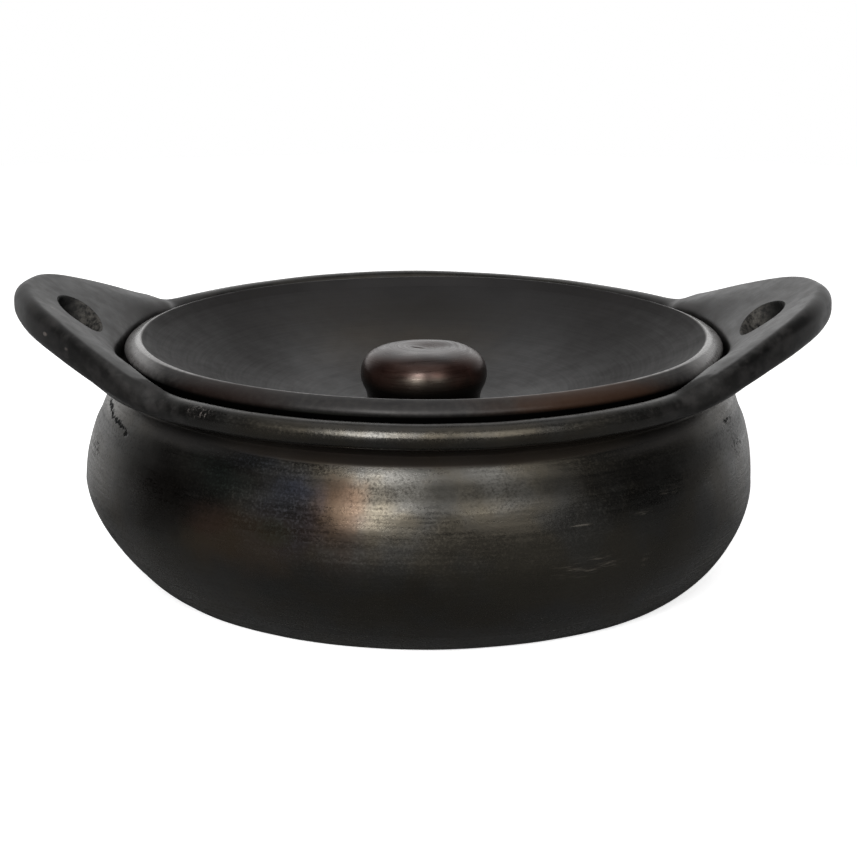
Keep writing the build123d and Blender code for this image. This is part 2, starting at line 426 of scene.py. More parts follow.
def cut_slot(skin, axis_step, rows, owner, drop):
    """The finger slot: the grid opens round it, and rings run over its edge and down its wall."""
    degree = skin.steps / 360
    section = skin.grid[axis_step]
    reach = np.linalg.norm(section[:, :2], axis=1)
    tip_row = rows["neck"] + int(np.argmax(reach[rows["neck"]:rows["seat"]]))
    upper_rows = (tip_row + 8, rows["seat"] - 14)
    under_rows = (rows["neck"] + 12, tip_row - 6)
    half_steps = int(SLOT_HALF_ANGLE * degree)
    turn = axis_step * 2 * pi / skin.steps
    normal = np.array((-sin(SLOT_SLOPE) * cos(turn), -sin(SLOT_SLOPE) * sin(turn), cos(SLOT_SLOPE)))
    shift = SLOT_DEPTH * sin(SLOT_SLOPE)

    opening = (SLOT_U + SLOT_HALF_U + 5, SLOT_U - SLOT_HALF_U - 4.5)
    block = row_at(skin, [axis_step] * 2, opening, upper_rows)
    top_first, top_last = int(block[0]), int(block[1]) + 1
    span = top_last - top_first
    middle = row_at(skin, [axis_step], [SLOT_U + shift], under_rows)[0]
    under_first = int(round(middle - span / 2))
    under_last = under_first + span

    left, right = axis_step - half_steps, axis_step + half_steps
    loop = [(i, top_first) for i in range(left, right)]
    loop += [(right, j) for j in range(top_first, top_last)]
    loop += [(i, top_last) for i in range(right, left, -1)]
    loop += [(left, j) for j in range(top_last, top_first, -1)]
    loop = np.array(loop, float)
    mirrored = np.stack([loop[:, 0], under_first + top_last - loop[:, 1]], axis=1)
    for first, last in ((top_first, top_last), (under_first, under_last)):
        for i in range(left, right):
            skin.dropped[i % skin.steps, first:last] = True

    angle = np.arctan2((loop[:, 1] - (top_first + top_last) / 2) / (span / 2),
                       (loop[:, 0] - axis_step) / half_steps)
    wave = 1 + 0.02 * np.sin(2 * angle + 1) + 0.015 * np.sin(3 * angle + axis_step)

    def outline(centre, grow, run):
        u = centre - (SLOT_HALF_U + grow) * wave * np.sin(angle)
        v = (SLOT_HALF_V + grow) * wave * np.cos(angle)
        step = axis_step + np.degrees(np.arctan2(v, u)) * degree
        return np.stack([step, row_at(skin, step, np.hypot(u, v), run)], axis=1)

    top_out, top_in = (outline(SLOT_U - drop, grow, upper_rows) for grow in (SLOT_EDGE, 0))
    under_out, under_in = (outline(SLOT_U - drop + shift, grow, under_rows) for grow in (SLOT_EDGE, 0))
    top_out_p, top_in_p, under_out_p, under_in_p = (
        skin.surface(*where.T) for where in (top_out, top_in, under_out, under_in))

    rings = []
    for s in np.linspace(0, 1, 8)[1:]:
        rings.append((skin.surface(*(loop * (1 - s) + top_out * s).T), 0))
    rounding = np.radians((22, 45, 68, 90))
    for b in rounding:
        rings.append((top_out_p + (top_in_p - top_out_p) * sin(b) - normal * SLOT_EDGE * (1 - cos(b)), 1))
    upper = top_in_p - normal * SLOT_EDGE
    lower = under_in_p + normal * SLOT_EDGE
    for s in np.linspace(0, 1, 9)[1:-1]:
        rough = 0.35 * np.sin(5 * angle + 9 * s + axis_step) + 0.25 * np.sin(11 * angle - 14 * s)
        wall = upper * (1 - s) + lower * s
        inward = wall.mean(axis=0) - wall
        inward /= np.linalg.norm(inward, axis=1)[:, None]
        rings.append((wall + inward * (rough + 0.6 * sin(pi * s))[:, None], 1))
    for b in rounding[::-1]:
        ring = under_out_p + (under_in_p - under_out_p) * sin(b) + normal * SLOT_EDGE * (1 - cos(b))
        rings.append((ring, 0))
    for s in np.linspace(1, 0, 8)[:-1]:
        rings.append((skin.surface(*(mirrored * (1 - s) + under_out * s).T), 0))

    previous = np.array([skin.at(int(i), int(j)) for i, j in loop])
    last = np.array([skin.at(int(i), int(j)) for i, j in mirrored])
    around = len(loop)
    for ring, slot in [(skin.add_points(points), slot) for points, slot in rings] + [(last, 0)]:
        for k in range(around):
            n = (k + 1) % around
            skin.add_face((previous[k], previous[n], ring[n], ring[k]), owner, slot)
        previous = ring


def build_pot(materials):
    """The pot's five pieces, cut from one skin."""
    skin, rows = pot_skin()
    sector = EAR_SECTOR * STEPS // 360
    right_axis = -EAR_TURN * STEPS // 360
    left_axis = STEPS // 2 - right_axis
    cut_slot(skin, right_axis, rows, "handle_right_clay", RIGHT_SLOT_DROP)
    cut_slot(skin, left_axis, rows, "handle_left_clay", LEFT_SLOT_DROP)

    def in_sector(i, axis):
        return (i - axis + sector) % STEPS < 2 * sector

    def owner(i, j):
        if j < rows["widest"] or j >= rows["inner_widest"]:
            return "bowl_clay"
        if j < rows["neck"] or j >= rows["seat"]:
            return "shoulder_clay"
        if in_sector(i, right_axis):
            return "handle_right_clay"
        return "handle_left_clay" if in_sector(i, left_axis) else "rim_clay"

    skin.close(owner)
    neck, seat = rows["neck"], rows["seat"]
    right = range(right_axis - sector, right_axis + sector)
    left = range(left_axis - sector, left_axis + sector)
    between = [i for i in range(STEPS) if not in_sector(i, right_axis) and not in_sector(i, left_axis)]
    caps = {
        "bowl_clay": skin.ring_cap(rows["widest"], rows["inner_widest"]),
        "shoulder_clay": skin.ring_cap(rows["inner_widest"], rows["widest"]) + skin.ring_cap(neck, seat),
        "handle_right_clay": skin.ring_cap(seat, neck, right),
        "handle_left_clay": skin.ring_cap(seat, neck, left),
        "rim_clay": skin.ring_cap(seat, neck, between),
    }
    for step, before, after in (
        (right.stop, "handle_right_clay", "rim_clay"), (left.start, "rim_clay", "handle_left_clay"),
        (left.stop, "handle_left_clay", "rim_clay"), (right.start, "rim_clay", "handle_right_clay"),
    ):
        caps[before] += skin.end_cap(step, neck, seat, True)
        caps[after] += skin.end_cap(step, neck, seat, False)
    nodes = {"bowl_clay": "bowl", "shoulder_clay": "shoulder", "rim_clay": "rim_collar",
             "handle_left_clay": "handle_left", "handle_right_clay": "handle_right"}
    for name, node in nodes.items():
        obj = skin.piece(name, caps[name], materials)
        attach(obj, "pot")
        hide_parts(node)


# ---------------------------------------------------------------- the lid

def rocked(points):
    """Points of the lid, built upright, as the lid lies on its seat."""
    pivot = EDGE_Z + EDGE_R
    y, z = points[..., 1].copy(), points[..., 2] - pivot
    points[..., 0] += LID_SHIFT
    points[..., 1] = y * cos(LID_TILT) + z * sin(LID_TILT)
    points[..., 2] = z * cos(LID_TILT) - y * sin(LID_TILT) + pivot
    return points


def turned(section, steps, wobble):
    """A grid turned about Z from a section, with a little unevenness added to its radii and heights."""
    theta = (np.arange(steps) * 2 * pi / steps)[:, None]
    radius = np.broadcast_to(section[:, 0], (steps, len(section)))
    height = np.broadcast_to(section[:, 1], (steps, len(section)))
    wide = np.clip(radius / 20, 0, 1)
    radius = radius + wide * wobble * ripple(theta, height, 8, (2, 7), 60)
    height = height + wide * wobble * 0.7 * ripple(theta, radius, 8, (2, 6), 160)
    return np.stack([radius * np.cos(theta), radius * np.sin(theta), height], axis=2)


def dish_height(r):
    """The height of the lid's upper face, which is part of a sphere."""
    sphere = ((EDGE_TOP - DISH_Z) ** 2 + EDGE_R**2) / (2 * (EDGE_TOP - DISH_Z))
    return DISH_Z + sphere - np.sqrt(sphere**2 - r**2)


def build_lid(clay, knob_clay):
    """The lid's three pieces: its dish and edge are cut from one skin, and the knob stands in the dish."""
    radii = np.linspace(AXIS_HOLE, DISH_JOINT_R, 50)
    top = np.stack([radii, dish_height(radii)], axis=1)
    bottom = np.stack([radii, dish_height(radii) - DISH_WALL], axis=1)[::-1]
    inner_edge = (EDGE_R - 1.6, EDGE_TOP)
    face_top = (EDGE_R + 5.0, EDGE_TOP - 3.7)
    widest = (EDGE_R + 5.6, EDGE_Z + 2.2)
    face_foot = (EDGE_R + 5.0, EDGE_Z + 0.4)
    underside = (EDGE_R, EDGE_Z - EDGE_ROLL)
    rim = resample(np.concatenate([
        line(top[-1], inner_edge),
        bezier(inner_edge, (EDGE_R + 0.8, EDGE_TOP - 0.5), (EDGE_R + 3.8, EDGE_TOP - 1.9), face_top, 20),
        bezier(face_top, (EDGE_R + 5.7, EDGE_TOP - 4.8), widest, face_foot, 14),
        bezier(face_foot, (EDGE_R + 4.0, EDGE_Z - 1.8), (EDGE_R + 2.6, underside[1] + 1.6), underside, 20),
        line(underside, bottom[0]),
    ]), 90, 0.25)
    skin = Skin(rocked(turned(np.concatenate([top, rim[1:], bottom[1:]]), STEPS, 0.22)))
    first, last = len(top) - 1, len(top) + len(rim) - 2
    skin.close(lambda i, j: "lid_edge_clay" if first <= j < last else "lid_dish_clay")
    dish = skin.piece("lid_dish_clay", skin.ring_cap(first, last), [clay])
    edge = skin.piece("lid_edge_clay", skin.ring_cap(last, first), [clay])

    foot = dish_height(KNOB_FOOT_R) - 0.8
    waist = (KNOB_WAIST_R, KNOB_TOP - 22)
    widest = (KNOB_R, KNOB_TOP - 12.2)
    profile = np.concatenate([
        line((2, foot), (KNOB_FOOT_R, foot), 8),
        bezier((KNOB_FOOT_R, foot), (26.4, foot + 1.0), (25.6, foot + 2.4), waist, 20),
        bezier(waist, (25.8, KNOB_TOP - 18.6), (KNOB_R, KNOB_TOP - 16.4), widest, 20),
        bezier(widest, (KNOB_R, KNOB_TOP - 6.4), (25.5, KNOB_TOP - 0.4), (13, KNOB_TOP), 30),
        line((13, KNOB_TOP), (1, KNOB_TOP + 0.1), 8),
    ])
    grid = rocked(turned(resample(profile, 110, 0.7), KNOB_STEPS, 0.22))
    x, y = grid[..., 0] - LID_SHIFT, grid[..., 1]
    on_top = grid[..., 2] > KNOB_TOP - 4
    dent = np.exp(-(((x - 3) / 7.5) ** 2 + ((y - 1) / 6) ** 2))
    nick = np.exp(-(((x + 2.6 - 0.45 * (y + 1)) / 2.2) ** 2 + ((y + 1.0) / 0.9) ** 2))
    grid[..., 2] -= on_top * (1.5 * dent + 1.3 * nick)
    knob_skin = Skin(grid)
    knob_skin.close(lambda i, j: "lid_knob_clay")
    knob = knob_skin.piece("lid_knob_clay", [], [knob_clay])
    for obj, node, slot in ((dish, "lid_dish", "lid_clay"), (edge, "lid_edge", "lid_clay"),
                            (knob, "lid_knob", "knob_clay")):
        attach(obj, "lid")
        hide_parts(node)


# ---------------------------------------------------------------- nodes

class Nodes:
    """Short calls that make the nodes of a material or of the world."""

    def __init__(self, owner):
        owner.use_nodes = True
        self.tree = owner.node_tree

    def node(self, kind, values=None, **settings):
        """A node with its settings, each input in values set or linked."""
        made = self.tree.nodes.new(kind)
        for key, value in settings.items():
            setattr(made, key, value)
        for key, value in (values or {}).items():
            self.feed(made.inputs[key], value)
        return made

    def feed(self, socket, value):
        if isinstance(value, bpy.types.NodeSocket):
            self.tree.links.new(value, socket)
        else:
            socket.default_value = value

    def math(self, operation, *values, clamp=False):
        made = self.node("ShaderNodeMath", dict(enumerate(values)), operation=operation, use_clamp=clamp)
        return made.outputs[0]

    def vector(self, operation, *values):
        """A vector sum. SCALE takes a vector and a number, and LENGTH and DOT_PRODUCT give a number."""
        keys = (0, "Scale") if operation == "SCALE" else range(len(values))
        made = self.node("ShaderNodeVectorMath", dict(zip(keys, values)), operation=operation)
        return made.outputs["Value" if operation in ("LENGTH", "DOT_PRODUCT") else "Vector"]

    def chain(self, operation, first, *others):
        for value in others:
            first = self.math(operation, first, value)
        return first

    def times(self, *values):
        return self.chain("MULTIPLY", *values)

    def plus(self, *values):
        return self.chain("ADD", *values)

    def inverse(self, value):
        """1 where value is 0, and 0 where it is 1."""
        return self.math("SUBTRACT", 1.0, value)

    def gap(self, value, centre):
        """How far value is from centre, either way."""
        return self.math("ABSOLUTE", self.math("SUBTRACT", value, centre))

    def hypot(self, a, b):
        return self.math("SQRT", self.plus(self.times(a, a), self.times(b, b)))

    def spread(self, value, low, high, to_low=0.0, to_high=1.0, curve="SMOOTHSTEP"):
        """value carried from low..high to to_low..to_high, and held beyond them."""
        values = {"Value": value, "From Min": low, "From Max": high, "To Min": to_low, "To Max": to_high}
        return self.node("ShaderNodeMapRange", values, interpolation_type=curve).outputs[0]

    def mix(self, factor, a, b):
        """Colour a where factor is 0, and colour b where it is 1."""
        return self.node("ShaderNodeMix", {0: factor, 6: a, 7: b}, data_type="RGBA").outputs[2]


class Clay(Nodes):
    """A material for fired clay. Its coordinates are in millimetres."""

    def __init__(self, name):
        self.material = bpy.data.materials.new(name)
        super().__init__(self.material)
        self.shader = self.tree.nodes["Principled BSDF"]
        place = self.node("ShaderNodeTexCoord").outputs["Object"]
        self.place = self.vector("MULTIPLY", place, (1 / MM,) * 3)
        self.x, self.y, self.z = self.node("ShaderNodeSeparateXYZ", {0: self.place}).outputs
        self.r = self.hypot(self.x, self.y)

    def noise(self, size, detail=4.0, roughness=0.55, stretch=(1, 1, 1), seed=0.0):
        """Cloudy noise with features of about size millimetres."""
        values = {"Vector": self.vector("MULTIPLY", self.place, tuple(s / size for s in stretch)), "W": seed,
                  "Scale": 1.0, "Detail": detail, "Roughness": roughness}
        return self.node("ShaderNodeTexNoise", values, noise_dimensions="4D").outputs[0]

    def rubbing(self, along, across, detail=3.0, seed=0.0):
        """Streaks that run round the axis: along millimetres long, across millimetres wide."""
        place = {0: self.math("DIVIDE", self.x, along), 1: self.math("DIVIDE", self.y, along),
                 2: self.plus(self.math("DIVIDE", self.z, across), seed)}
        values = {"Vector": self.node("ShaderNodeCombineXYZ", place).outputs[0],
                  "W": self.math("DIVIDE", self.r, across), "Scale": 1.0, "Detail": detail, "Roughness": 0.6}
        return self.node("ShaderNodeTexNoise", values, noise_dimensions="4D").outputs[0]

    def uneven(self, grain, detail, amount, seed=0.0):
        """Noise between about -amount and amount, to make an edge ragged."""
        return self.math("MULTIPLY_ADD", self.noise(grain, detail, 0.6, seed=seed), 2 * amount, -amount)

    def near(self, centre, size, ragged=0.35, grain=14.0):
        """1 at a place on the clay and 0 beyond size millimetres from it, with an uneven edge."""
        away = self.vector("SUBTRACT", self.place, centre)
        away = self.vector("LENGTH", self.vector("MULTIPLY", away, tuple(1 / s for s in size)))
        return self.spread(self.plus(away, self.uneven(grain, 4, ragged, centre[0] * 0.1)), 1.0, 0.35)

    def along(self, points, width, ragged=0.45, grain=3.5, wander=4.5):
        """1 on a wandering line through some points on the clay and 0 beyond width millimetres from it."""
        scaled = self.vector("SCALE", self.place, 1 / grain)
        drift = self.node("ShaderNodeTexNoise", {"Vector": scaled, "Scale": 1.0, "Detail": 3.0}).outputs[1]
        drift = self.vector("SCALE", self.vector("SUBTRACT", drift, (0.5, 0.5, 0.5)), wander)
        place = self.vector("ADD", self.place, drift)
        nearest = None
        for start, end in zip(points, points[1:]):
            span = tuple(b - a for a, b in zip(start, end))
            offset = self.vector("SUBTRACT", place, start)
            covered = self.vector("DOT_PRODUCT", offset, span)
            share = self.math("DIVIDE", covered, sum(v * v for v in span), clamp=True)
            away = self.vector("LENGTH", self.vector("SUBTRACT", offset, self.vector("SCALE", span, share)))
            nearest = away if nearest is None else self.math("MINIMUM", nearest, away)
        return self.spread(self.plus(nearest, self.uneven(grain, 3, ragged)), width, width * 0.4)

    def total(self, *values):
        """The sum of some masks, held to 1."""
        return self.math("MINIMUM", self.plus(*values), 1.0)

    def patches(self, colour, layers, ragged=0.35):
        """colour with patches laid over it, each a centre, a size, how strong it is and its own colour."""
        for centre, size, amount, patch in layers:
            colour = self.mix(self.times(self.near(centre, size, ragged), amount), colour, patch)
        return colour

    def bumps(self, *layers):
        """Height layers, each (value, strength, millimetres high), stacked into one normal."""
        normal = None
        for value, strength, height in layers:
            values = {"Height": value, "Strength": strength, "Distance": height * MM}
            if normal is not None:
                values["Normal"] = normal
            normal = self.node("ShaderNodeBump", values).outputs[0]
        self.feed(self.shader.inputs["Normal"], normal)

    def surface(self, colour, rough, tint, specular=0.5):
        """The clay's colour and roughness, the tint of its gloss, and how strong the gloss is."""
        self.feed(self.shader.inputs["Base Color"], colour)
        self.feed(self.shader.inputs["Roughness"], rough)
        self.feed(self.shader.inputs["Specular Tint"], tint)
        self.shader.inputs["Specular IOR Level"].default_value = specular


# ---------------------------------------------------------------- the pot's clay

# Near black: the crack's colour, and the painted shade under the lid's edge.
CRACK_AND_SHADE_BLACK = (0.0004, 0.0004, 0.0004, 1)
WHITE = (1, 1, 1, 1)


def broken_clay(c):
    """A crack under the left ear, and pits under both ears."""
    crack = c.along(((-139.2, -21, 86.4), (-137.2, -35, 84.6), (-136.2, -41, 83.4), (-132.6, -51.5, 83.2),
                     (-129.8, -59, 82.4), (-128.9, -63, 80.6)), 1.3)
    pitted = c.total(
        c.near((-144.4, -34, 68), (5, 15, 5), 0.3, 4), c.near((-143.2, -48, 47), (2, 3, 2), 0.3, 3),
        c.near((-136, -52, 32), (6, 10, 7), 0.3, 4), c.near((134.6, -43, 82), (6, 14, 6), 0.3, 4),
        c.near((139, -44, 71), (5, 12, 5), 0.3, 4))
    pits = c.times(pitted, c.spread(c.noise(1.9, 3, 0.6, seed=51), 0.54, 0.60))
    return c.math("MAXIMUM", crack, pits)


def chips_and_glint(c):
    """Pale marks: one flaked place on the lip in front, two flaked specks on the left ear, and a painted
    glint on the left ear's crest.
    """
    pale_specks = c.times(c.near((-94, -116, 105.3), (10, 10, 3.0), 0.3, 3),
                      c.spread(c.noise(1.3, 3, 0.6, seed=52), 0.53, 0.66, 0.0, 0.6))
    return c.total(c.near((-164.1, -52.9, 123.9), (1.5, 2.8, 1.2), 0.3, 2),
                   c.times(c.near((-154, -65.1, 120.1), (1.2, 2.4, 1.0), 0.3, 2), 0.5),
                   # Painted glint on the left ear's crest.
                   c.times(c.near((-162.4, -33, 130.8), (1.6, 2.6, 1.2), 0.3, 2), 0.8), pale_specks)


def scuffed_clay(c):
    """Short pale scuffs that run round the right of the belly."""
    places = (
        ((72, -134, 42), (24, 22, 5.5), 6), ((106, -103, 67.5), (8, 8, 2.8), 4),
        ((95, -115, 60.5), (7, 7, 2.2), 4), ((67.5, -133, 60), (7, 6, 1.8), 4),
        ((96.7, -113, 39.5), (5, 5, 5), 4))
    scuffed = c.total(*(c.near(centre, size, 0.4, grain) for centre, size, grain in places))
    return c.times(scuffed, c.spread(c.rubbing(9, 0.8, 4, 17), 0.48, 0.66))


def burnished_clay():
    """The pot's outside: rubbed to a shine in rings, with smoke colours from the fire, and some painted shade
    and painted highlights.
    """
    c = Clay("burnished_clay")
    streak = c.rubbing(30, 1.3, 5, 3)
    fine = c.rubbing(9, 0.6, 3, 11)
    bands = c.rubbing(160, 7, 2, 5)
    cloud = c.noise(38, 4, 0.55, seed=2)
    mottle = c.noise(7, 5, 0.62, seed=6)
    grit = c.noise(1.1, 3, 0.6, seed=4)
    broken, pale_specks, scuffs = broken_clay(c), chips_and_glint(c), scuffed_clay(c)

    # The ears and the lip next to them are matt. A ring on the shoulder and the bends where the ears leave
    # the lip are dull. The neck's hollow is dull too, and its gloss is darkened there as painted shade under
    # the lip's overhang.
    aside = c.math("ABSOLUTE", c.x)
    side = c.spread(aside, 62, 112)
    on_ear = c.spread(c.z, LIP_Z - 4, LIP_Z + 3)
    matt = c.math("MAXIMUM", on_ear, c.times(c.spread(aside, 84, 112), c.spread(c.z, 91, 96)))
    dull = c.times(c.spread(c.gap(c.z, RING_Z - 0.2), 7.8, 1.0),
                   c.spread(c.plus(mottle, c.times(grit, 0.5)), 0.55, 0.92, 0.72, 1.0))
    shaded_neck = c.times(c.spread(c.r, 140.5, 138.6), c.spread(c.z, RIDGE_Z - 1, RIDGE_Z + 2))
    shaded_neck = c.times(shaded_neck, c.math("MULTIPLY_ADD", side, -0.7, 1.0))
    # Painted highlight: a paler band along the shoulder's ridge towards the sides.
    ridge = c.times(c.spread(c.gap(c.z, RIDGE_Z + 1), 4.5, 0.5), side)
    bend = c.total(c.near((-118, -94, 109), (19, 19, 11)), c.near((120, -94, 109), (19, 19, 11)))

    colour = c.mix(c.spread(cloud, 0.35, 0.7), (0.0022, 0.0021, 0.0020, 1), (0.0052, 0.0050, 0.0046, 1))
    colour = c.patches(colour, (
        ((-76, -126, 52), (46, 34, 20), 0.8, (0.0100, 0.0062, 0.0036, 1)),
        ((-34, -143, 62), (26, 30, 30), 0.6, (0.0080, 0.0048, 0.0030, 1)),
        ((60, -136, 40), (70, 50, 26), 0.6, (0.0062, 0.0060, 0.0050, 1)),
        # Painted shade: a near-black patch on the shoulder under the left ear.
        ((-116, -92, 62), (34, 40, 24), 0.9, (0.0008, 0.0006, 0.0005, 1)),
        ((-132, -62, 36), (26, 50, 22), 0.6, (0.0110, 0.0096, 0.0085, 1)),
    ))
    for mask, mark_colour in (
        (c.times(matt, c.spread(mottle, 0.42, 0.66)), (0.0125, 0.0115, 0.0110, 1)),
        # Painted highlight along the ridge.
        (c.times(ridge, 0.8), (0.019, 0.018, 0.0175, 1)),
        (c.times(scuffs, 0.38), (0.075, 0.066, 0.054, 1)),
        # Pale flaked marks on the lip and the left ear, and the painted glint on the left ear's crest.
        (c.times(pale_specks, 0.8), (0.115, 0.100, 0.092, 1)),
        (broken, CRACK_AND_SHADE_BLACK),
    ):
        colour = c.mix(mask, colour, mark_colour)

    rough = c.plus(c.spread(streak, 0.3, 0.72, 0.22, 0.32), c.spread(cloud, 0.4, 0.7, 0.0, 0.08),
                   c.spread(grit, 0.45, 0.7, 0.0, 0.16), c.times(dull, 0.07))
    matt_rough = c.plus(c.spread(mottle, 0.35, 0.7, 0.38, 0.50), c.spread(c.x, 0, -100, 0.0, 0.08))
    wear_and_glint = c.total(scuffs, pale_specks, broken)
    recess = c.math("MAXIMUM", bend, shaded_neck)
    for at_least in (c.times(matt, matt_rough), c.times(recess, 0.8), c.times(wear_and_glint, 0.75)):
        rough = c.math("MAXIMUM", rough, at_least)

    tint = c.spread(c.noise(26, 3, 0.5, seed=8), 0.4, 0.62)
    tint = c.mix(tint, (1.0, 0.88, 0.68, 1), (0.98, 0.95, 0.88, 1))
    tint = c.mix(c.times(dull, 0.85), tint, (0.26, 0.24, 0.20, 1))
    matt_tint = c.mix(c.spread(mottle, 0.4, 0.6), (0.60, 0.59, 0.585, 1), (0.74, 0.73, 0.725, 1))
    tint = c.patches(c.mix(matt, tint, matt_tint), (
        ((-37, -143, 69), (19, 25, 24), 0.7, (1.0, 0.62, 0.40, 1)),
        ((-56, -138, 66), (20, 28, 26), 0.5, (0.42, 0.52, 0.85, 1)),
        ((-62, -136, 58), (12, 20, 8), 0.5, (0.60, 0.85, 0.50, 1)),
        ((-88, -120, 78), (20, 28, 14), 0.55, (0.46, 0.80, 0.66, 1)),
        ((-74, -128, 86), (18, 24, 6), 0.55, (0.46, 0.62, 0.95, 1)),
        ((-92, -116, 60), (18, 22, 10), 0.6, (1.0, 0.48, 0.44, 1)),
        # Painted shade: the gloss is darkened on the same patch under the left ear.
        ((-114, -92, 66), (40, 44, 25), 0.9, (0.30, 0.25, 0.19, 1)),
        ((-118, -78, 105), (20, 24, 9), 0.8, (0.26, 0.24, 0.23, 1)),
        ((118, -82, 105), (20, 24, 9), 0.8, (0.26, 0.25, 0.24, 1)),
    ), ragged=0.5)
    # Painted shade: the gloss in the neck's hollow, under the lip, is darkened.
    tint = c.mix(c.times(shaded_neck, 0.8), tint, (0.30, 0.20, 0.14, 1))
    c.surface(colour, rough, c.mix(broken, tint, (0.1, 0.1, 0.1, 1)), 0.55)

    smoother = c.math("MULTIPLY_ADD", matt, -0.75, 1.0)
    c.bumps((bands, 0.5, 0.4), (c.times(streak, smoother), 0.22, 0.05), (c.times(fine, smoother), 0.16, 0.04),
            (cloud, 0.3, 0.6), (mottle, 0.4, 0.22), (grit, 0.35, 0.06), (c.inverse(broken), 0.8, 0.8),
            (pale_specks, 0.5, 0.25))
    return c.material


def cut_clay():
    """The slot's wall, cut with a wire and left unburnished, and darker towards the ear's tip."""
    c = Clay("cut_clay")
    grain = c.noise(2.2, 5, 0.65, seed=41)
    colour = c.mix(c.spread(grain, 0.35, 0.68), (0.0075, 0.0072, 0.0068, 1), (0.060, 0.056, 0.050, 1))
    outer = c.spread(c.math("ABSOLUTE", c.x), 150, 160, 0.0, 0.9)
    c.surface(c.mix(outer, colour, (0.004, 0.004, 0.004, 1)), c.spread(grain, 0.3, 0.7, 0.7, 0.9), WHITE, 0.2)
    c.bumps((c.noise(5, 4, 0.6, stretch=(1, 1, 0.4), seed=43), 0.8, 0.9), (grain, 0.8, 0.5))
    return c.material


# ---------------------------------------------------------------- the lid's clay

